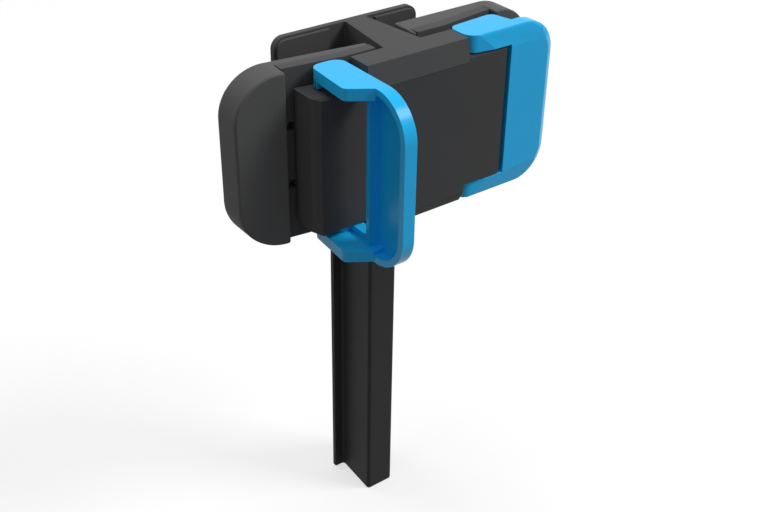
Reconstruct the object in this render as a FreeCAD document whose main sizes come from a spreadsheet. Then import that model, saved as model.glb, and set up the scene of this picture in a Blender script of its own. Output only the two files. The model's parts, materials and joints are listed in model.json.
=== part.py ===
import FreeCAD
import Part
import Sketcher
import math
import os
import re

# Clamp mount for a phone beside a laptop lid: two sliding jaws, two cam levers and a support leg.
# Millimetres. The origin is the centre of the leg's foot, +Z is up, +Y runs from panel to back plate.
# Each sub-part except the leg is drawn from the foot of the panel's middle line and seated on top of the leg.

SIZES = (
    ("body_height", 42.4),
    ("block_half_width", 14.2),
    ("block_depth", 7.4),
    ("left_panel_half", 27.5),
    ("right_panel_half", 26.1),
    ("panel_bevel", 0.5),
    ("left_end_flare", 0.5),
    ("right_end_flare", 1.35),
    ("left_end_shoulder", 2.85),
    ("right_end_shoulder", 8.0),
    ("end_corner", 0.5),
    ("wall", 1.5),
    ("top_bevel_height", 5.6),
    ("top_bevel_depth", 1.0),
    ("bottom_bevel_height", 2.35),
    ("bottom_bevel_depth", 1.3),
    ("cavity_half_width", 15.6),
    ("cavity_margin", 5.6),
    ("web_front_half", 5.25),
    ("web_back_half", 2.9),
    ("web_root_round", 0.6),
    ("plate_front", 25.4),
    ("plate_thickness", 1.5),
    ("plate_corner", 3.0),
    ("left_wing", 22.7),
    ("right_wing", 18.2),
    ("left_pad_inner", 7.8),
    ("right_pad_inner", 5.4),
    ("pad_margin", 0.6),
    ("pad_corner", 2.2),
    ("pad_thickness", 0.7),
    ("cover_thickness", 1.5),
    ("cover_gap", 0.1),
    ("cover_edge", 0.1),
    ("post_radius", 1.9),
    ("screw_place", 7.6),
    ("screw_margin", 8.6),
    ("screw_radius", 0.9),
    ("screw_length", 4.4),
    ("screw_head_radius", 1.6),
    ("screw_head_height", 0.8),
    ("screw_slot_width", 0.45),
    ("screw_slot_depth", 0.35),
    ("screw_gap", 0.08),
    ("pivot_offset", 5.0),
    ("pivot_depth", 3.67),
    ("pivot_radius", 1.25),
    ("pivot_clearance", 0.05),
    ("press_clearance", 0.02),
    ("pivot_reach", 2.6),
    ("pivot_end_gap", 0.3),
    ("arm_height", 4.3),
    ("arm_thickness", 2.8),
    ("arm_skirt", 1.6),
    ("arm_gap", 0.35),
    ("arm_side_gap", 0.4),
    ("arm_nose_round", 3.1),
    ("arm_nose_set", 1.3),
    ("arm_front_place", 3.3),
    ("nose_wall", 1.0),
    ("nose_slot", 0.5),
    ("nose_rib", 0.6),
    ("hub_radius", 2.4),
    ("arm_back", 8.75),
    ("arm_back_outer", 9.8),
    ("arm_shoulder", 9.4),
    ("arm_shoulder_round", 1.8),
    ("arm_tail_reach", 3.0),
    ("cam_round", 2.4),
    ("left_lever_gap", 1.7),
    ("right_lever_gap", 0.9),
    ("left_lever_width", 13.4),
    ("right_lever_width", 13.9),
    ("left_corner_share", 0.73),
    ("right_corner_share", 0.64),
    ("lever_thickness", 4.2),
    ("lever_floor", 1.2),
    ("lever_rim", 1.6),
    ("lever_post", 1.1),
    ("lever_bevel_width", 1.8),
    ("lever_bevel_depth", 1.0),
    ("lever_slope_height", 4.8),
    ("lever_slope_depth", 0.8),
    ("left_lever_turn", 90.0),
    ("right_lever_turn", 0.0),
    ("jaw_gap", 0.9),
    ("jaw_slope", 0.134),
    ("jaw_bend", 15.0),
    ("jaw_inner", 6.7),
    ("jaw_plate_end", 30.3),
    ("jaw_plate_thickness", 2.6),
    ("jaw_end", 42.6),
    ("jaw_travel", 2.0),
    ("lip_gap", 0.2),
    ("lip_proud", 2.45),
    ("lip_corner", 11.0),
    ("left_jaw_depth", 4.1),
    ("right_jaw_depth", 7.75),
    ("right_grip_wrap", 1.0),
    ("window_outer", 29.2),
    ("window_width", 1.8),
    ("window_height", 2.0),
    ("window_margin", 14.0),
    ("stud_gap", 0.15),
    ("stud_height", 1.2),
    ("guide_place", 11.5),
    ("guide_margin", 13.6),
    ("guide_radius", 1.2),
    ("guide_clearance", 0.05),
    ("guide_seat", 2.0),
    ("guide_head_radius", 2.2),
    ("guide_head_height", 0.8),
    ("guide_head_gap", 0.2),
    ("spring_radius", 1.75),
    ("spring_wire", 0.16),
    ("spring_turns", 2.5),
    ("spring_gap", 0.05),
    ("leg_length", 94.8),
    ("leg_web_shift", 1.2),
    ("leg_root_width", 7.0),
    ("leg_front_width", 8.4),
    ("leg_web_depth", 13.2),
    ("leg_flange_width", 15.2),
    ("leg_flange_thickness", 1.5),
    ("leg_root_round", 0.8),
    ("leg_edge_round", 0.9),
    ("leg_foot_round", 0.6),
    ("leg_gap", 0.2),
    ("leg_back_gap", 0.75),
    ("tongue_width", 3.0),
    ("tongue_depth", 7.0),
    ("tongue_height", 16.0),
    ("tongue_gap", 0.12),
    ("socket_end_gap", 0.4),
)

doc = FreeCAD.newDocument("clamp_mount")
sheet = doc.addObject("Spreadsheet::Sheet", "Sizes")
for row, (name, number) in enumerate(SIZES, 1):
    sheet.set("A%d" % row, name)
    sheet.set("B%d" % row, str(number))
    sheet.setAlias("B%d" % row, name)
doc.recompute()
ALIASES = set(name for name, number in SIZES)
NORMALS = {"XY": 1, "YZ": 1, "XZ": -1}
NEAR = 0.01


def size(name):
    """Number behind one cell of the sheet."""
    return float(sheet.get(name))


def formula(words):
    """Expression in which each size name points at its cell."""
    return re.sub(r"[a-z_]+", lambda found: cell(found.group(0)), words)


def cell(word):
    return "Sizes." + word if word in ALIASES else word


def mirrored(side, words):
    """Sideways place on the left (-1) or right (1) half."""
    return words if side > 0 else "-(%s)" % words


def new_body(label):
    return doc.addObject("PartDesign::Body", label)


def seat(body, forward="0"):
    """Puts a sub-part on top of the leg, moved towards the back plate by the given amount."""
    body.setExpression("Placement.Base.y", formula("%s + %s" % (SEAT, forward)))
    body.setExpression("Placement.Base.z", formula("leg_length"))


def new_sketch(body, name, plane, start):
    sketch = body.newObject("Sketcher::SketchObject", name + "_outline")
    planes = [part for part in body.Origin.OriginFeatures if part.Role == plane + "_Plane"]
    sketch.AttachmentSupport = (planes[0], [""])
    sketch.MapMode = "FlatFace"
    sign = "" if NORMALS[plane] > 0 else "-"
    sketch.setExpression("AttachmentOffset.Base.z", formula("%s(%s)" % (sign, start)))
    return sketch


def hold(sketch, geometry, point, place):
    """Two dimensions from the sketch's origin fix one point."""
    for direction, words in zip(("DistanceX", "DistanceY"), place):
        index = sketch.addConstraint(Sketcher.Constraint(direction, -1, 1, geometry, point, 1.0))
        sketch.setExpression("Constraints[%d]" % index, formula(words))


def extrude(body, name, plane, sketch, start, end, cut):
    """Pads or pockets a sketch from start to end along the plane's own axis."""
    before = body.Shape.Volume if body.Tip else 0.0
    feature = body.newObject("PartDesign::Pocket" if cut else "PartDesign::Pad", name)
    feature.Profile = sketch
    feature.setExpression("Length", formula("(%s) - (%s)" % (end, start)))
    feature.Reversed = (NORMALS[plane] > 0) == cut
    doc.recompute()
    change = body.Shape.Volume - before
    if (change >= 0.0) == cut:
        raise ValueError("%s changed the volume the wrong way by %g" % (name, change))
    return feature


def prism(body, name, plane, corners, start, end, cut=False):
    """Straight-sided outline, added to the body or cut from it."""
    sketch = new_sketch(body, name, plane, start)
    count = len(corners)
    turns = [2.0 * math.pi * index / count for index in range(count)]
    rough = [FreeCAD.Vector(math.cos(turn), math.sin(turn), 0) for turn in turns]
    for index in range(count):
        sketch.addGeometry(Part.LineSegment(rough[index], rough[(index + 1) % count]))
    for index in range(count):
        sketch.addConstraint(Sketcher.Constraint("Coincident", index, 2, (index + 1) % count, 1))
    for index, place in enumerate(corners):
        hold(sketch, index, 1, place)
    return extrude(body, name, plane, sketch, start, end, cut)


def disc(body, name, plane, centre, radius, start, end, cut=False):
    """Round outline, added to the body or cut from it."""
    sketch = new_sketch(body, name, plane, start)
    sketch.addGeometry(Part.Circle(FreeCAD.Vector(0, 0, 0), FreeCAD.Vector(0, 0, 1), 1.0))
    hold(sketch, 0, 3, centre)
    index = sketch.addConstraint(Sketcher.Constraint("Radius", 0, 1.0))
    sketch.setExpression("Constraints[%d]" % index, formula(radius))
    return extrude(body, name, plane, sketch, start, end, cut)


def box_corners(low, high, bottom, top):
    return ((low, bottom), (high, bottom), (high, top), (low, top))


def at(edge, x=None, y=None, z=None):
    """True for an edge whose two ends both lie at the given places."""
    for vertex in edge.Vertexes:
        point = vertex.Point
        for want, have in ((x, point.x), (y, point.y), (z, point.z)):
            if want is not None and abs(have - want) > NEAR:
                return False
    return len(edge.Vertexes) == 2


def along(edge, axis):
    """True for a straight edge that runs along one axis."""
    if len(edge.Vertexes) != 2 or edge.Curve.TypeId != "Part::GeomLine":
        return False
    run = edge.Vertexes[1].Point - edge.Vertexes[0].Point
    return abs(abs(run[axis]) - run.Length) < NEAR


def round_edges(body, name, radius, wanted):
    base = body.Tip
    feature = body.newObject("PartDesign::Fillet", name)
    feature.Base = (base, edge_names(base, wanted))
    feature.setExpression("Radius", formula(radius))
    doc.recompute()
    return feature


def edge_names(feature, wanted):
    edges = enumerate(feature.Shape.Edges, 1)
    names = ["Edge%d" % index for index, edge in edges if wanted(edge)]
    if not names:
        raise ValueError("no edges found to treat after " + feature.Name)
    return names


def bevel_edges(body, name, width, depth, wanted):
    base = body.Tip
    feature = body.newObject("PartDesign::Chamfer", name)
    feature.Base = (base, edge_names(base, wanted))
    feature.ChamferType = "Two distances"
    feature.setExpression("Size", formula(depth))
    feature.setExpression("Size2", formula(width))
    doc.recompute()
    return feature


# Lines shared by the housing, the levers and the jaws
SEAT = "leg_web_depth / 2 + leg_back_gap - plate_front"
JAW_FACE = "block_depth + jaw_gap"
PIVOT = "(block_half_width + pivot_offset)"
ARM_INNER = "(block_half_width + arm_side_gap)"
LOW_END = "arm_height + arm_gap"
HIGH_END = "body_height - arm_height - arm_gap"
CAVITY_BACK = "block_depth - wall"
PLATE_BACK = "plate_front + plate_thickness"
GUIDE_FRONT = "cover_thickness + guide_head_gap"
SCREW_FACE = "block_depth - screw_gap"


def height(kind, level):
    """Height of the lower or upper one of a pair set in by the same margin from both ends of the body."""
    margin = kind + "_margin"
    return margin if level == "lower" else "body_height - " + margin


def raked(base, place):
    """Depth of a face that leans back with the jaw from the bend outwards."""
    return "%s + jaw_slope * (%s - jaw_bend)" % (base, place)


def end_rear(place):
    """Depth of the housing's rear face beside the middle block."""
    return "block_depth + jaw_slope * (%s - block_half_width)" % place


def cover_outline(gap):
    """Panel outline in the front view, pulled in by a gap along its free edges."""
    inner = "block_half_width"
    low = "bottom_bevel_height + " + gap
    high = "body_height - top_bevel_height - " + gap

    def half(outer):
        return (
            (inner, low),
            (inner, LOW_END),
            (outer, LOW_END),
            (outer, HIGH_END),
            (inner, HIGH_END),
            (inner, high),
        )

    left = tuple((mirrored(-1, across), up) for across, up in reversed(half("left_panel_half")))
    return half("right_panel_half") + left


def make_frame():
    body = new_body("main_frame")
    side_profile = (
        ("cover_thickness", "bottom_bevel_height"),
        ("0", "bottom_bevel_height"),
        ("bottom_bevel_depth", "0"),
        ("block_depth", "0"),
        ("block_depth", "body_height"),
        ("top_bevel_depth", "body_height"),
        ("0", "body_height - top_bevel_height"),
        ("cover_thickness", "body_height - top_bevel_height"),
    )
    prism(body, "middle_block", "YZ", side_profile, "-block_half_width", "block_half_width")
    for side, word in ((-1, "left"), (1, "right")):
        panel = word + "_panel_half"
        end = "(%s + %s_end_flare)" % (panel, word)
        end_plan = (
            (mirrored(side, "block_half_width - wall"), "cover_thickness"),
            (mirrored(side, panel), "cover_thickness"),
            (mirrored(side, end), word + "_end_shoulder"),
            (mirrored(side, end), end_rear(end)),
            (mirrored(side, "block_half_width"), "block_depth"),
            (mirrored(side, "block_half_width - wall"), "block_depth"),
        )
        prism(body, word + "_end_block", "XY", end_plan, LOW_END, HIGH_END)
    web_plan = (
        ("-web_front_half", "block_depth - wall / 2"),
        ("web_front_half", "block_depth - wall / 2"),
        ("web_front_half", "block_depth"),
        ("web_back_half", "plate_front"),
        ("web_back_half", "plate_front + plate_thickness / 2"),
        ("-web_back_half", "plate_front + plate_thickness / 2"),
        ("-web_back_half", "plate_front"),
        ("-web_front_half", "block_depth"),
    )
    prism(body, "web", "XY", web_plan, "0", "body_height")
    plate = box_corners("-left_wing", "right_wing", "0", "body_height")
    prism(body, "back_plate", "XZ", plate, "plate_front", PLATE_BACK)
    wings = (-size("left_wing"), size("right_wing"))
    round_edges(
        body,
        "back_plate_corners",
        "plate_corner",
        lambda edge: along(edge, 1) and any(at(edge, x=wing) for wing in wings),
    )
    root = size("web_back_half")
    round_edges(
        body,
        "web_roots",
        "web_root_round",
        lambda edge: along(edge, 2) and at(edge, y=size("plate_front"))
        and any(at(edge, x=place) for place in (-root, root)),
    )
    ends = (
        -size("left_panel_half") - size("left_end_flare"),
        size("right_panel_half") + size("right_end_flare"),
    )
    round_edges(
        body,
        "end_corners",
        "end_corner",
        lambda edge: along(edge, 2) and any(at(edge, x=place) for place in ends),
    )
    cavity_top = "body_height - cavity_margin"
    cavity = box_corners("-cavity_half_width", "cavity_half_width", "cavity_margin", cavity_top)
    prism(body, "cavity", "XZ", cavity, "cover_thickness", CAVITY_BACK, True)
    for side, word in ((-1, "left"), (1, "right")):
        pivot = (mirrored(side, PIVOT), "pivot_depth")
        disc(body, word + "_pivot_bore", "XY", pivot, "pivot_radius + press_clearance",
             LOW_END, HIGH_END, True)
        for level in ("lower", "upper"):
            guide = (mirrored(side, "guide_place"), height("guide", level))
            disc(body, "%s_%s_guide_bore" % (word, level), "XZ", guide, "guide_radius + guide_clearance",
                 CAVITY_BACK, "block_depth", True)
            screw = (mirrored(side, "screw_place"), height("screw", level))
            disc(body, "%s_%s_screw_seat" % (word, level), "XZ", screw, "screw_head_radius + screw_gap",
                 SCREW_FACE + " - screw_head_height", "block_depth", True)
            disc(body, "%s_%s_screw_hole" % (word, level), "XZ", screw, "screw_radius + screw_gap",
                 CAVITY_BACK, SCREW_FACE + " - screw_head_height", True)
    socket_half = "(tongue_width / 2 + tongue_gap)"
    middle = "plate_front - leg_back_gap - leg_web_depth / 2"
    reach = "(tongue_depth / 2 + tongue_gap)"
    front = "%s - %s" % (middle, reach)
    rear = "%s + %s" % (middle, reach)
    socket = box_corners("-" + socket_half, socket_half, front, rear)
    prism(body, "leg_socket", "XY", socket, "0", "tongue_height + socket_end_gap", True)
    seat(body)


def make_cover():
    body = new_body("front_cover")
    prism(body, "panel", "XZ", cover_outline("cover_gap"), "0", "cover_thickness")
    for side, word in ((-1, "left"), (1, "right")):
        for level in ("lower", "upper"):
            place = (mirrored(side, "screw_place"), height("screw", level))
            name = "%s_%s_post" % (word, level)
            disc(body, name, "XZ", place, "post_radius", "cover_thickness", CAVITY_BACK)
            disc(body, name + "_pilot", "XZ", place, "screw_radius + press_clearance",
                 "cover_thickness", CAVITY_BACK, True)
    corners = (-size("left_panel_half"), size("right_panel_half"))
    bevel_edges(
        body,
        "panel_side_edges",
        "cover_thickness - cover_edge",
        "panel_bevel",
        lambda edge: along(edge, 2) and any(at(edge, x=place, y=0.0) for place in corners),
    )
    seat(body)


def make_screws():
    screws = []
    for side, word in ((-1, "left"), (1, "right")):
        for level in ("lower", "upper"):
            body = new_body("%s_%s_screw" % (word, level))
            place = (mirrored(side, "screw_place"), height("screw", level))
            under = SCREW_FACE + " - screw_head_height"
            disc(body, body.Name + "_head", "XZ", place, "screw_head_radius", under, SCREW_FACE)
            disc(body, body.Name + "_shank", "XZ", place, "screw_radius", under + " - screw_length", under)
            slot = box_corners(
                place[0] + " - screw_head_radius",
                place[0] + " + screw_head_radius",
                place[1] + " - screw_slot_width / 2",
                place[1] + " + screw_slot_width / 2",
            )
            prism(body, body.Name + "_slot", "XZ", slot, SCREW_FACE + " - screw_slot_depth", SCREW_FACE, True)
            seat(body)
            screws.append(body)
    group = doc.addObject("Part::Compound", "cover_screws")
    group.Links = screws


def make_lever(side, word):
    """U-shaped lever drawn closed, with its pivot axis as its own origin."""
    body = new_body(word + "_lever")

    def across(words):
        return mirrored(side, "%s - %s" % (words, PIVOT))

    def back(words):
        return "%s - pivot_depth" % words

    width = word + "_lever_width"
    corner = "%s * %s_corner_share" % (width, word)
    inner = "(%s_panel_half + %s_lever_gap)" % (word, word)
    tail = "(%s + arm_tail_reach)" % inner
    pivot = size("block_half_width") + size("pivot_offset")
    outer = size(word + "_panel_half") + size(word + "_lever_gap") + size(width) - pivot
    top = size("body_height")
    grip = box_corners(across(inner), across("(%s + %s)" % (inner, width)), "0", "body_height")
    prism(body, "grip_plate", "XZ", grip, back("0"), back("lever_thickness"))
    arm = (
        (across(ARM_INNER), back("arm_nose_set")),
        (mirrored(side, "arm_front_place"), back("0")),
        (across(tail), back("0")),
        (across(tail), back("lever_thickness")),
        (mirrored(side, "arm_shoulder"), back("arm_back_outer")),
        (across(ARM_INNER), back("arm_back")),
    )
    behind = back("(arm_back_outer + arm_skirt)")
    ribbed_end = "(%s + nose_wall + 2 * (nose_slot + nose_rib))" % ARM_INNER
    hollow = (
        (across(ribbed_end), back("(arm_nose_set + arm_skirt)")),
        (across(inner), back("(arm_nose_set + arm_skirt)")),
        (across(inner), back("lever_thickness")),
        (across("(%s + arm_skirt)" % tail), back("lever_thickness")),
        (across("(%s + arm_skirt)" % tail), behind),
        (across(ribbed_end), behind),
    )
    for level, outside, plate, inside in (
        ("lower", "0", "arm_thickness", "arm_height"),
        ("upper", "body_height", "body_height - arm_thickness", "body_height - arm_height"),
    ):
        low, high = (outside, inside) if level == "lower" else (inside, outside)
        prism(body, level + "_arm", "XY", arm, low, high)
        low, high = (plate, inside) if level == "lower" else (inside, plate)
        prism(body, level + "_arm_hollow", "XY", hollow, low, high, True)
        for count in (0, 1):
            slot_start = "(%s + nose_wall + %d * (nose_slot + nose_rib))" % (ARM_INNER, count)
            slot_end = "(%s + nose_slot)" % slot_start
            slot = box_corners(across(slot_start), across(slot_end), "hub_radius / 2", behind)
            prism(body, "%s_nose_slot_%d" % (level, count + 1), "XY", slot, low, high, True)
        disc(body, level + "_hub", "XY", ("0", "0"), "hub_radius", low, high)
    front = -size("pivot_depth")
    nose = side * (size("arm_side_gap") - size("pivot_offset"))
    shoulder = side * size("arm_shoulder")
    round_edges(
        body,
        "cam_corners",
        "cam_round",
        lambda edge: along(edge, 2) and at(edge, x=nose, y=size("arm_back") - size("pivot_depth")),
    )
    round_edges(
        body,
        "arm_shoulders",
        "arm_shoulder_round",
        lambda edge: along(edge, 2) and at(edge, x=shoulder),
    )
    post_side = across("(%s + lever_post)" % inner)
    rim_side = across("(%s + %s - lever_rim)" % (inner, width))
    tail_side = across(tail)
    tray = (
        (tail_side, "lever_rim"),
        (rim_side, "lever_rim"),
        (rim_side, "body_height - lever_rim"),
        (tail_side, "body_height - lever_rim"),
        (tail_side, "body_height - arm_thickness"),
        (post_side, "body_height - arm_thickness"),
        (post_side, "arm_thickness"),
        (tail_side, "arm_thickness"),
    )
    inner_corner = outer - size("lever_rim")
    prism(body, "tray", "XZ", tray, back("lever_floor"), back("lever_thickness"), True)
    round_edges(
        body,
        "tray_corners",
        corner + " - lever_rim",
        lambda edge: along(edge, 1) and at(edge, x=side * inner_corner),
    )
    round_edges(
        body,
        "grip_corners",
        corner,
        lambda edge: along(edge, 1) and at(edge, x=side * outer),
    )
    outline = (0.0, top)
    bevel_edges(
        body,
        "front_bevel",
        "lever_bevel_width",
        "lever_bevel_depth",
        lambda edge: at(edge, y=front) and (
            any(at(edge, z=level) for level in outline)
            or at(edge, x=side * outer)
            or edge.Curve.TypeId == "Part::GeomCircle"
        ),
    )
    ends = (across(ARM_INNER), across("(%s + %s)" % (inner, width)))
    first, last = ends if side > 0 else ends[::-1]
    for level, edge_line, foot in (
        ("lower", "0", "lever_slope_height"),
        ("upper", "body_height", "body_height - lever_slope_height"),
    ):
        slope = ((back("0"), foot), (back("0"), edge_line), (back("lever_slope_depth"), edge_line))
        prism(body, level + "_slope", "YZ", slope, first, last, True)
    nose_front = front + size("arm_nose_set") + NEAR
    round_edges(
        body,
        "arm_noses",
        "arm_nose_round",
        lambda edge: at(edge, x=nose) and max(end.Point.y for end in edge.Vertexes) < nose_front
        and abs(edge.Vertexes[0].Point.z - edge.Vertexes[1].Point.z) > NEAR,
    )
    for level, low, high in (
        ("lower", "arm_height - pivot_reach - pivot_end_gap", "arm_height"),
        ("upper", "body_height - arm_height", "body_height - arm_height + pivot_reach + pivot_end_gap"),
    ):
        disc(body, level + "_pivot_bore", "XY", ("0", "0"), "pivot_radius + pivot_clearance", low, high, True)
    body.setExpression("Placement.Base.x", formula(mirrored(side, PIVOT)))
    body.setExpression("Placement.Base.y", formula(SEAT + " + pivot_depth"))
    body.setExpression("Placement.Base.z", formula("leg_length"))
    body.setExpression("Placement.Rotation.Angle", formula(word + "_lever_turn * 1 deg"))


def make_pivot_pin(side, word):
    body = new_body(word + "_pivot_pin")
    place = (mirrored(side, PIVOT), "pivot_depth")
    disc(body, "shaft", "XY", place, "pivot_radius", "arm_height - pivot_reach",
         "body_height - arm_height + pivot_reach")
    seat(body)


def make_jaw_plate(side, word, forward):
    body = new_body(word + "_jaw_plate")
    rear = JAW_FACE + " + jaw_plate_thickness"
    plan = (
        (mirrored(side, "jaw_inner"), JAW_FACE),
        (mirrored(side, "jaw_bend"), JAW_FACE),
        (mirrored(side, "jaw_plate_end"), raked(JAW_FACE, "jaw_plate_end")),
        (mirrored(side, "jaw_plate_end"), raked(rear, "jaw_plate_end")),
        (mirrored(side, "jaw_bend"), rear),
        (mirrored(side, "jaw_inner"), rear),
    )
    prism(body, "plate", "XY", plan, "0", "body_height")
    for level in ("lower", "upper"):
        guide = (mirrored(side, "guide_place"), height("guide", level))
        disc(body, level + "_pin_seat", "XZ", guide, "guide_radius + press_clearance",
             JAW_FACE, JAW_FACE + " + guide_seat", True)
        window = box_corners(
            mirrored(side, "window_outer - window_width"),
            mirrored(side, "window_outer"),
            height("window", level) + " - window_height / 2",
            height("window", level) + " + window_height / 2",
        )
        prism(body, level + "_window", "XZ", window, JAW_FACE, raked(rear, "jaw_plate_end"), True)
    seat(body, forward)


def make_jaw_grip(side, word, forward):
    """Soft layer behind the jaw plate with a rounded lip past the plate's outer end."""
    body = new_body(word + "_jaw_grip")
    plate_rear = JAW_FACE + " + jaw_plate_thickness"
    lip_start = "jaw_plate_end + lip_gap"
    lip_face = JAW_FACE + " - lip_proud"
    if side < 0:
        rear = "%s + left_jaw_depth + jaw_slope * (%%s - jaw_inner)" % JAW_FACE
        inner = (
            (mirrored(side, "jaw_inner"), rear % "jaw_inner"),
            (mirrored(side, "jaw_inner"), plate_rear),
        )
        outer_rear = rear % "jaw_end"
    else:
        outer_rear = JAW_FACE + " + right_jaw_depth"
        inner = (
            (mirrored(side, "jaw_inner - right_grip_wrap"), outer_rear),
            (mirrored(side, "jaw_inner - right_grip_wrap"), JAW_FACE),
            (mirrored(side, "jaw_inner - lip_gap"), JAW_FACE),
            (mirrored(side, "jaw_inner - lip_gap"), plate_rear),
        )
    plan = inner + (
        (mirrored(side, "jaw_bend"), plate_rear),
        (mirrored(side, lip_start), raked(plate_rear, "(%s)" % lip_start)),
        (mirrored(side, lip_start), raked(lip_face, "(%s)" % lip_start)),
        (mirrored(side, "jaw_end"), raked(lip_face, "jaw_end")),
        (mirrored(side, "jaw_end"), outer_rear),
    )
    prism(body, "layer", "XY", plan, "0", "body_height")
    end = side * size("jaw_end")
    round_edges(
        body,
        "lip_corners",
        "lip_corner",
        lambda edge: along(edge, 1) and at(edge, x=end),
    )
    for level in ("lower", "upper"):
        stud = box_corners(
            mirrored(side, "window_outer - window_width + stud_gap"),
            mirrored(side, "window_outer - stud_gap"),
            height("window", level) + " - window_height / 2 + stud_gap",
            height("window", level) + " + window_height / 2 - stud_gap",
        )
        root = raked(plate_rear, "window_outer")
        prism(body, level + "_stud", "XZ", stud, root + " - stud_height", root + " + stud_height")
    seat(body, forward)


def make_back_pad(side, word):
    body = new_body(word + "_back_pad")
    outline = box_corners(
        mirrored(side, word + "_pad_inner"),
        mirrored(side, word + "_wing - pad_margin"),
        "pad_margin",
        "body_height - pad_margin",
    )
    prism(body, "pad", "XZ", outline, "plate_front - pad_thickness", "plate_front")
    outer = side * (size(word + "_wing") - size("pad_margin"))
    round_edges(body, "pad_corners", "pad_corner", lambda edge: along(edge, 1) and at(edge, x=outer))
    seat(body)


def make_guide_pin(side, word, level, forward):
    body = new_body("%s_%s_guide_pin" % (word, level))
    place = (mirrored(side, "guide_place"), height("guide", level))
    head_rear = GUIDE_FRONT + " + guide_head_height"
    disc(body, "head", "XZ", place, "guide_head_radius", GUIDE_FRONT, head_rear)
    disc(body, "shaft", "XZ", place, "guide_radius", head_rear, JAW_FACE + " + guide_seat")
    seat(body, forward)


def make_spring(side, word, level, forward):
    """Coil of square wire between the head of a guide pin and the rear wall of the housing."""
    label = "%s_%s_spring" % (word, level)
    start = "%s + guide_head_height + %s + spring_wire + spring_gap" % (GUIDE_FRONT, forward)
    rise = "(%s - spring_wire - spring_gap - (%s))" % (CAVITY_BACK, start)
    path = doc.addObject("Part::Helix", label + "_path")
    path.setExpression("Radius", formula("spring_radius"))
    path.setExpression("Height", formula(rise))
    path.setExpression("Pitch", formula(rise + " / spring_turns"))
    wire = doc.addObject("Part::RegularPolygon", label + "_wire")
    wire.Polygon = 4
    wire.Placement = FreeCAD.Placement(FreeCAD.Vector(0, 0, 0), FreeCAD.Rotation(FreeCAD.Vector(1, 0, 0), 90))
    wire.setExpression("Circumradius", formula("spring_wire"))
    wire.setExpression("Placement.Base.x", formula("spring_radius"))
    coil = doc.addObject("Part::Sweep", label)
    coil.Sections = [wire]
    coil.Spine = (path, [])
    coil.Solid = True
    coil.Frenet = True
    coil.Placement = FreeCAD.Placement(FreeCAD.Vector(0, 0, 0), FreeCAD.Rotation(FreeCAD.Vector(1, 0, 0), -90))
    coil.setExpression("Placement.Base.x", formula(mirrored(side, "guide_place")))
    coil.setExpression("Placement.Base.y", formula("%s + %s" % (SEAT, start)))
    coil.setExpression("Placement.Base.z", formula("leg_length + " + height("guide", level)))


def make_leg():
    body = new_body("leg")
    wide = "leg_flange_width / 2"
    front = "-leg_web_depth / 2"
    rear = "leg_web_depth / 2"
    section = (
        ("-leg_front_width / 2 - leg_web_shift", front),
        ("leg_front_width / 2 - leg_web_shift", front),
        ("leg_root_width / 2 - leg_web_shift", rear),
        (wide, rear),
        (wide, rear + " + leg_flange_thickness"),
        ("-" + wide, rear + " + leg_flange_thickness"),
        ("-" + wide, rear),
        ("-leg_root_width / 2 - leg_web_shift", rear),
    )
    prism(body, "post", "XY", section, "0", "leg_length - leg_gap")
    root = size("leg_root_width") / 2
    shift = size("leg_web_shift")
    depth = size("leg_web_depth") / 2
    round_edges(
        body,
        "flange_roots",
        "leg_root_round",
        lambda edge: along(edge, 2) and at(edge, y=depth)
        and any(at(edge, x=place - shift) for place in (-root, root)),
    )
    round_edges(
        body,
        "front_edges",
        "leg_edge_round",
        lambda edge: along(edge, 2) and at(edge, y=-depth),
    )
    round_edges(body, "foot_edge", "leg_foot_round", lambda edge: at(edge, z=0.0))
    tongue = box_corners("-tongue_width / 2", "tongue_width / 2", "-tongue_depth / 2", "tongue_depth / 2")
    prism(body, "tongue", "XY", tongue, "leg_length - leg_gap", "leg_length + tongue_height")


make_frame()
make_cover()
make_screws()
make_leg()
for side, word, forward in ((-1, "left", "0"), (1, "right", "jaw_travel")):
    make_lever(side, word)
    make_pivot_pin(side, word)
    make_jaw_plate(side, word, forward)
    make_jaw_grip(side, word, forward)
    make_back_pad(side, word)
    for level in ("lower", "upper"):
        make_guide_pin(side, word, level, forward)
        make_spring(side, word, level, forward)
doc.recompute()

NODES = ["main_frame", "front_cover", "cover_screws", "leg"]
for word in ("left", "right"):
    NODES += [word + ending for ending in ("_lever", "_pivot_pin", "_jaw_plate", "_jaw_grip", "_back_pad")]
    for level in ("lower", "upper"):
        NODES += ["%s_%s_guide_pin" % (word, level), "%s_%s_spring" % (word, level)]

for item in doc.Objects:
    if "Invalid" in item.State or "Error" in item.State:
        raise ValueError("%s is not in order: %s" % (item.Name, item.State))
os.makedirs("parts", exist_ok=True)
for node in NODES:
    shape = doc.getObject(node).Shape
    if shape.isNull() or not shape.isValid():
        raise ValueError(node + " has no sound shape")
    shape.exportStep("parts/%s.step" % node)
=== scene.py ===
import json
import math

import bmesh
import bpy
from mathutils import Matrix, Vector
from mathutils.bvhtree import BVHTree


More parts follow.
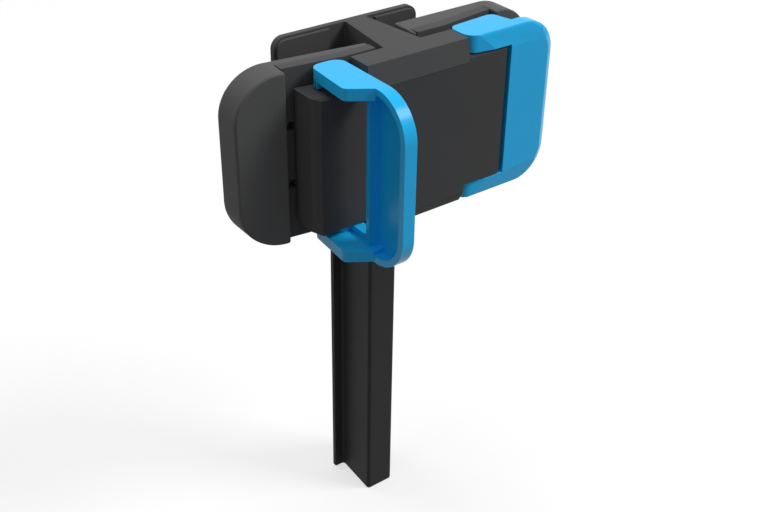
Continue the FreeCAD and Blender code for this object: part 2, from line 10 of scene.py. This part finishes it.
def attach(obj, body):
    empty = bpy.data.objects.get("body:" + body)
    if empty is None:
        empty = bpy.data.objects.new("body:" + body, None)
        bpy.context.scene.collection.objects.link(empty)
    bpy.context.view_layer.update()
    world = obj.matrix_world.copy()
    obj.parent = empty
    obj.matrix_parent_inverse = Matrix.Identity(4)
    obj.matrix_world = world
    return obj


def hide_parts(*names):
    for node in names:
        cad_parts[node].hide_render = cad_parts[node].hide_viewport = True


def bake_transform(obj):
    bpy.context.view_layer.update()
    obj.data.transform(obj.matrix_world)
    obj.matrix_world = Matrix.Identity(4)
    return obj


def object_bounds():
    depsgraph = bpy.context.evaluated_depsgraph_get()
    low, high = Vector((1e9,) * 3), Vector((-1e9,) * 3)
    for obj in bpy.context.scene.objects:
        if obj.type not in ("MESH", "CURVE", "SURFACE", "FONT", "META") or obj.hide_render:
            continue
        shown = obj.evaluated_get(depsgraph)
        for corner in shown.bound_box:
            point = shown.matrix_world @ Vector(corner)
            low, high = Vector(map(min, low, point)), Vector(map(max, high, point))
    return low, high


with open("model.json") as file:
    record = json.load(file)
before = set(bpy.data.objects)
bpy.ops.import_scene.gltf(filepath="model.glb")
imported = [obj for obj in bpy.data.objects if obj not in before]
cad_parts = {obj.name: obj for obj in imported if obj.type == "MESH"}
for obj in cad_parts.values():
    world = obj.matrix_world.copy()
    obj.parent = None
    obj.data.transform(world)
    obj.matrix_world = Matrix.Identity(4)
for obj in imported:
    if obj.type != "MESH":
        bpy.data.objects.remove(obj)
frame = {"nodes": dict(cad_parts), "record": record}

# Clamp mount for a phone beside a laptop lid, dressed for the render.
# Lengths are in metres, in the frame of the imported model.

cad_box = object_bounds()
bpy.context.scene.view_settings.view_transform = "Standard"

MM = 0.001
IMAGE_WIDTH = 768
SENSOR_WIDTH_MM = 36.0

# Camera fitted to the straight edges of the photograph.
FOCAL_PIXELS = 1131.2
CAMERA_PLACE = Vector((-0.1477, -0.19965, 0.2334))
CAMERA_YAW = math.radians(37.23)
CAMERA_PITCH = math.radians(32.56)
CAMERA_ROLL = math.radians(0.95)
CAMERA_NEAR = 0.01

# Colours of the plastics and metals, linear.
BODY_GREY = (0.086, 0.086, 0.087)
COVER_GREY = (0.058, 0.058, 0.059)
LEG_GREY = (0.040, 0.040, 0.040)
LEVER_BLUE = (0.016, 0.500, 0.960)
GRIP_GREY = (0.106, 0.106, 0.106)
PAD_GREY = (0.085, 0.085, 0.086)
PIN_STEEL = (0.55, 0.55, 0.56)
WIRE_STEEL = (0.42, 0.42, 0.44)

# Surface noise of the finishes; the part of its range from low to high is spread over the tones.
NOISE_LOW = 0.3
NOISE_HIGH = 0.7
CLOUD_SCALE = 90.0
CLOUD_DETAIL = 4.0
CLOUD_SHARE = 0.5
GRAIN_DETAIL = 2.0
GRAIN_SHARE = 0.5
GRAIN_DEPTH = 0.02 * MM
MOTTLE = 0.06
SHEEN_PER_MOTTLE = 0.6
SCRATCH_DETAIL = 3.0
SCRATCH_BUMP = 0.15
SCRATCH_DEPTH = 0.01 * MM
STEEL_DARK = 0.85
STEEL_LIGHT = 1.1
STEEL_SHEEN = 0.08


def link_white_for_seen_rays(tree, place):
    """Links a value that is 1 for camera, glossy and transmission rays and 0 for all others."""
    path = tree.nodes.new("ShaderNodeLightPath")
    seen = path.outputs["Is Camera Ray"]
    for kind in ("Is Glossy Ray", "Is Transmission Ray"):
        either = tree.nodes.new("ShaderNodeMath")
        either.operation = "MAXIMUM"
        tree.links.new(seen, either.inputs[0])
        tree.links.new(path.outputs[kind], either.inputs[1])
        seen = either.outputs[0]
    tree.links.new(seen, place)


def noise(tree, coordinates, scale, detail):
    """Noise over the object's own coordinates; scale is in waves per metre."""
    texture = tree.nodes.new("ShaderNodeTexNoise")
    texture.inputs["Scale"].default_value = scale
    texture.inputs["Detail"].default_value = detail
    tree.links.new(coordinates, texture.inputs["Vector"])
    return texture.outputs["Fac"]


def ramp(tree, factor, low, high):
    """Spreads the middle of a noise's range over the values from low to high."""
    node = tree.nodes.new("ShaderNodeMapRange")
    node.inputs["From Min"].default_value = NOISE_LOW
    node.inputs["From Max"].default_value = NOISE_HIGH
    node.inputs["To Min"].default_value = low
    node.inputs["To Max"].default_value = high
    tree.links.new(factor, node.inputs["Value"])
    return node.outputs["Result"]


def shaded(colour, share):
    """A colour made darker or lighter by a factor, with full opacity."""
    return (*[min(channel * share, 1) for channel in colour], 1)


def moulded(name, colour, roughness, grain, bump, specular, mottle=MOTTLE):
    """Moulded plastic or rubber: a fine surface grain, faint cloudiness of tone and an uneven sheen."""
    material = bpy.data.materials.new(name)
    material.use_nodes = True
    tree = material.node_tree
    shader = tree.nodes["Principled BSDF"]
    coordinates = tree.nodes.new("ShaderNodeTexCoord").outputs["Object"]

    clouds = noise(tree, coordinates, CLOUD_SCALE, CLOUD_DETAIL)
    speckle = noise(tree, coordinates, grain, GRAIN_DETAIL)

    tone = tree.nodes.new("ShaderNodeMix")
    tone.data_type = "RGBA"
    tone.inputs["A"].default_value = shaded(colour, 1 - mottle)
    tone.inputs["B"].default_value = shaded(colour, 1 + mottle)
    blend = tree.nodes.new("ShaderNodeMath")
    blend.operation = "MULTIPLY_ADD"
    blend.inputs[1].default_value = GRAIN_SHARE
    tree.links.new(ramp(tree, speckle, 0.0, 1.0), blend.inputs[0])
    tree.links.new(ramp(tree, clouds, 0.0, CLOUD_SHARE), blend.inputs[2])
    tree.links.new(blend.outputs[0], tone.inputs["Factor"])
    tree.links.new(tone.outputs["Result"], shader.inputs["Base Color"])

    spread = SHEEN_PER_MOTTLE * mottle
    tree.links.new(ramp(tree, clouds, roughness - spread, roughness + spread), shader.inputs["Roughness"])

    relief = tree.nodes.new("ShaderNodeBump")
    relief.inputs["Strength"].default_value = bump
    relief.inputs["Distance"].default_value = GRAIN_DEPTH
    tree.links.new(speckle, relief.inputs["Height"])
    tree.links.new(relief.outputs["Normal"], shader.inputs["Normal"])

    shader.inputs["Specular IOR Level"].default_value = specular
    return material


def turned(name, colour, roughness, grain):
    """Drawn or turned steel with fine scratches in its tone, sheen and relief."""
    material = bpy.data.materials.new(name)
    material.use_nodes = True
    tree = material.node_tree
    shader = tree.nodes["Principled BSDF"]
    coordinates = tree.nodes.new("ShaderNodeTexCoord").outputs["Object"]
    scratches = noise(tree, coordinates, grain, SCRATCH_DETAIL)

    tone = tree.nodes.new("ShaderNodeMix")
    tone.data_type = "RGBA"
    tone.inputs["A"].default_value = shaded(colour, STEEL_DARK)
    tone.inputs["B"].default_value = shaded(colour, STEEL_LIGHT)
    tree.links.new(ramp(tree, scratches, 0.0, 1.0), tone.inputs["Factor"])
    tree.links.new(tone.outputs["Result"], shader.inputs["Base Color"])
    sheen = ramp(tree, scratches, roughness - STEEL_SHEEN, roughness + STEEL_SHEEN)
    tree.links.new(sheen, shader.inputs["Roughness"])

    relief = tree.nodes.new("ShaderNodeBump")
    relief.inputs["Strength"].default_value = SCRATCH_BUMP
    relief.inputs["Distance"].default_value = SCRATCH_DEPTH
    tree.links.new(scratches, relief.inputs["Height"])
    tree.links.new(relief.outputs["Normal"], shader.inputs["Normal"])

    shader.inputs["Metallic"].default_value = 1.0
    return material


FINISH = {
    "body_plastic": moulded(
        "body_plastic", BODY_GREY, roughness=0.6, grain=5200.0, bump=0.35, specular=0.04
    ),
    "cover_plastic": moulded(
        "cover_plastic", COVER_GREY, roughness=0.48, grain=6500.0, bump=0.2, specular=0.08
    ),
    "leg_plastic": moulded(
        "leg_plastic", LEG_GREY, roughness=0.5, grain=5200.0, bump=0.3, specular=0.06
    ),
    "lever_plastic": moulded(
        "lever_plastic", LEVER_BLUE, roughness=0.26, grain=3800.0, bump=0.04, specular=0.18, mottle=0.02
    ),
    "grip_rubber": moulded(
        "grip_rubber", GRIP_GREY, roughness=0.66, grain=3600.0, bump=0.45, specular=0.1
    ),
    "pad_rubber": moulded(
        "pad_rubber", PAD_GREY, roughness=0.7, grain=3000.0, bump=0.5, specular=0.1
    ),
    "steel": turned("steel", PIN_STEEL, roughness=0.3, grain=2600.0),
    "spring_steel": turned("spring_steel", WIRE_STEEL, roughness=0.35, grain=3400.0),
}

SLOT = {part["node"]: part["material_slot"] for part in frame["record"]["subparts"]}
BODY = {node: body for body, nodes in frame["record"]["behaviour"]["bodies"].items() for node in nodes}

# Width of the rounding on the outer edges of each shell.
EDGE_ROUND = {
    "main_frame": 0.28 * MM,
    "front_cover": 0.12 * MM,
    "leg": 0.3 * MM,
    "left_lever": 0.35 * MM,
    "right_lever": 0.35 * MM,
    "left_jaw_plate": 0.25 * MM,
    "right_jaw_plate": 0.25 * MM,
    "left_jaw_grip": 0.6 * MM,
    "right_jaw_grip": 0.6 * MM,
    "left_back_pad": 0.15 * MM,
    "right_back_pad": 0.15 * MM,
}
ROUND_STEPS = 3
ROUND_PROFILE = 0.5
SHARP_ANGLE = math.radians(28)
FLAT_ANGLE = math.radians(1.2)
WELD_REACH = 0.002 * MM
SEAM_REACH = 0.15 * MM
SEAM_SHARES = (0.1, 0.5, 0.9)

# The levers have long shallow facets, which stay crisp although their faces meet at a small angle.
FACETED = ("left_lever", "right_lever")
FACET_ANGLE = math.radians(6)
FACET_LENGTH = 5.0 * MM


def search_tree(node):
    """Search tree over the faces of one solid at rest."""
    solid = frame["nodes"][node]
    corners = [solid.matrix_world @ vertex.co for vertex in solid.data.vertices]
    return BVHTree.FromPolygons(corners, [face.vertices for face in solid.data.polygons])


TREES = {node: search_tree(node) for node in EDGE_ROUND}


def meets_neighbour(edge, placed, neighbours):
    """True where an edge runs along another piece of the same body, so that the two stay flush."""
    start, end = [placed @ vertex.co for vertex in edge.verts]
    places = [start.lerp(end, share) for share in SEAM_SHARES]
    return any(
        all(tree.find_nearest(place, SEAM_REACH)[0] is not None for place in places) for tree in neighbours
    )


def is_crease(edge, node):
    """True for an edge where the shading breaks."""
    if len(edge.link_faces) != 2:
        return False
    facet = node in FACETED and edge.calc_length() > FACET_LENGTH
    return edge.calc_face_angle() > (FACET_ANGLE if facet else SHARP_ANGLE)


def dressed_copy(node):
    """A copy of a solid's mesh with its finish."""
    mesh = frame["nodes"][node].data.copy()
    mesh.name = node + "_shell"
    mesh.materials.clear()
    mesh.materials.append(FINISH[SLOT[node]])
    return mesh


def stand_in(node, mesh):
    """An object that stands for a solid in the render."""
    shell = bpy.data.objects.new(node + "_shell", mesh)
    bpy.context.scene.collection.objects.link(shell)
    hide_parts(node)
    return shell


def softened(node):
    """A copy of a moulded solid with its outer edges rounded, which moves with the solid's body."""
    solid = frame["nodes"][node]
    mesh = dressed_copy(node)
    neighbours = [tree for other, tree in TREES.items() if other != node and BODY[other] == BODY[node]]
    form = bmesh.new()
    form.from_mesh(mesh)
    bmesh.ops.remove_doubles(form, verts=form.verts, dist=WELD_REACH)
    bmesh.ops.dissolve_limit(form, angle_limit=FLAT_ANGLE, verts=form.verts, edges=form.edges)
    corners = [
        edge
        for edge in form.edges
        if len(edge.link_faces) == 2
        and edge.calc_face_angle_signed() > SHARP_ANGLE
        and not meets_neighbour(edge, solid.matrix_world, neighbours)
    ]
    bmesh.ops.bevel(
        form,
        geom=corners,
        affect="EDGES",
        offset_type="OFFSET",
        offset=EDGE_ROUND[node],
        segments=ROUND_STEPS,
        profile=ROUND_PROFILE,
        clamp_overlap=True,
        miter_outer="ARC",
        harden_normals=False,
    )
    for face in form.faces:
        face.smooth = True
    for edge in form.edges:
        edge.smooth = not is_crease(edge, node)
    form.to_mesh(mesh)
    form.free()
    shell = stand_in(node, mesh)
    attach(shell, BODY[node])
    shading = shell.modifiers.new("even_shading", "WEIGHTED_NORMAL")
    shading.keep_sharp = True
    return shell


# Each spring reaches from the rear wall of the housing to the head of a guide pin, which moves with a jaw.
SPRING_JAW = {
    "left_upper_spring": "left_jaw",
    "left_lower_spring": "left_jaw",
    "right_upper_spring": "right_jaw",
    "right_lower_spring": "right_jaw",
}


def stretching(node):
    """A copy of a spring with its finish, its place at rest baked into its mesh."""
    mesh = dressed_copy(node)
    coil = stand_in(node, mesh)
    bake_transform(coil)
    return coil


shells = {node: softened(node) for node in EDGE_ROUND}
shells.update({node: stretching(node) for node in SPRING_JAW})

for node, solid in frame["nodes"].items():
    if node not in shells:
        solid.data.materials.clear()
        solid.data.materials.append(FINISH[SLOT[node]])

# Light: a faint even dome, three soft boxes and a floor that throws some light back.
# The soft boxes stand overhead, at the front right and behind.
DOME_LEVEL = 0.30
SEEN_LEVEL = 1.0
FLOOR_HALF = 2.0
FLOOR_TONE = 0.95
FLOOR_BOUNCE = 0.14
FLOOR_GLOW_SHARE = 0.62
FLOOR_GLOW = 1.05
KEY_PLACE = Vector((0.00, 0.05, 2.00))
KEY_SIZE = 0.8
KEY_POWER = 9.5
FRONT_PLACE = Vector((0.95, -0.85, 1.35))
FRONT_SIZE = 0.6
FRONT_POWER = 18.5
BACK_PLACE = Vector((-0.55, 1.45, 0.85))
BACK_SIZE = 0.9
BACK_POWER = 7.0


def grey(tone):
    """A grey of full opacity."""
    return (tone, tone, tone, 1)


def add_floor():
    """A pale floor that looks white, keeps a soft shadow and throws a plain share of light back up."""
    material = bpy.data.materials.new("floor")
    material.use_nodes = True
    tree = material.node_tree
    tree.nodes.clear()
    output = tree.nodes.new("ShaderNodeOutputMaterial")
    seen_floor = tree.nodes.new("ShaderNodeMixShader")
    seen_floor.inputs["Fac"].default_value = FLOOR_GLOW_SHARE
    lit = tree.nodes.new("ShaderNodeBsdfDiffuse")
    lit.inputs["Color"].default_value = grey(FLOOR_TONE)
    glow = tree.nodes.new("ShaderNodeEmission")
    glow.inputs["Strength"].default_value = FLOOR_GLOW
    tree.links.new(lit.outputs[0], seen_floor.inputs[1])
    tree.links.new(glow.outputs[0], seen_floor.inputs[2])
    bounce = tree.nodes.new("ShaderNodeBsdfDiffuse")
    bounce.inputs["Color"].default_value = grey(FLOOR_BOUNCE)
    choice = tree.nodes.new("ShaderNodeMixShader")
    link_white_for_seen_rays(tree, choice.inputs["Fac"])
    tree.links.new(bounce.outputs[0], choice.inputs[1])
    tree.links.new(seen_floor.outputs[0], choice.inputs[2])
    tree.links.new(choice.outputs[0], output.inputs["Surface"])

    half = FLOOR_HALF
    mesh = bpy.data.meshes.new("floor")
    corners = [(-half, -half, 0), (half, -half, 0), (half, half, 0), (-half, half, 0)]
    mesh.from_pydata(corners, [], [(0, 1, 2, 3)])
    mesh.materials.append(material)
    floor = bpy.data.objects.new("floor", mesh)
    bpy.context.scene.collection.objects.link(floor)


def add_world():
    """Even light from all round, seen as white by the camera and in reflections."""
    world = bpy.data.worlds.new("studio")
    bpy.context.scene.world = world
    world.use_nodes = True
    tree = world.node_tree
    tree.nodes.clear()
    output = tree.nodes.new("ShaderNodeOutputWorld")
    fill = tree.nodes.new("ShaderNodeBackground")
    fill.inputs["Strength"].default_value = DOME_LEVEL
    white = tree.nodes.new("ShaderNodeBackground")
    white.inputs["Strength"].default_value = SEEN_LEVEL
    for background in (fill, white):
        background.inputs["Color"].default_value = grey(1)
    choice = tree.nodes.new("ShaderNodeMixShader")
    link_white_for_seen_rays(tree, choice.inputs["Fac"])
    tree.links.new(fill.outputs[0], choice.inputs[1])
    tree.links.new(white.outputs[0], choice.inputs[2])
    tree.links.new(choice.outputs[0], output.inputs["Surface"])


def add_lamp(name, place, target, size, power):
    """A square soft box aimed at a point of the object."""
    lamp = bpy.data.lights.new(name, "AREA")
    lamp.size = size
    lamp.energy = power
    holder = bpy.data.objects.new(name, lamp)
    holder.location = place
    holder.rotation_euler = (target - place).to_track_quat("-Z", "Y").to_euler()
    bpy.context.scene.collection.objects.link(holder)


def add_camera():
    """The camera at the photograph's viewing angle."""
    forward = Vector((
        math.sin(CAMERA_YAW) * math.cos(CAMERA_PITCH),
        math.cos(CAMERA_YAW) * math.cos(CAMERA_PITCH),
        -math.sin(CAMERA_PITCH),
    ))
    level = Vector((math.cos(CAMERA_YAW), -math.sin(CAMERA_YAW), 0))
    upright = level.cross(forward)
    right = math.cos(CAMERA_ROLL) * level + math.sin(CAMERA_ROLL) * upright
    up = math.cos(CAMERA_ROLL) * upright - math.sin(CAMERA_ROLL) * level
    lens = bpy.data.cameras.new("camera")
    lens.sensor_width = SENSOR_WIDTH_MM
    lens.lens = FOCAL_PIXELS * SENSOR_WIDTH_MM / IMAGE_WIDTH
    lens.clip_start = CAMERA_NEAR
    camera = bpy.data.objects.new("camera", lens)
    turn = Matrix((right, up, -forward)).transposed()
    camera.matrix_world = Matrix.Translation(CAMERA_PLACE) @ turn.to_4x4()
    bpy.context.scene.collection.objects.link(camera)
    bpy.context.scene.camera = camera


lowest, highest = cad_box
middle = (Vector(lowest) + Vector(highest)) / 2
add_floor()
add_world()
add_lamp("key", KEY_PLACE, middle, KEY_SIZE, KEY_POWER)
add_lamp("front", FRONT_PLACE, middle, FRONT_SIZE, FRONT_POWER)
add_lamp("back", BACK_PLACE, middle, BACK_SIZE, BACK_POWER)
add_camera()
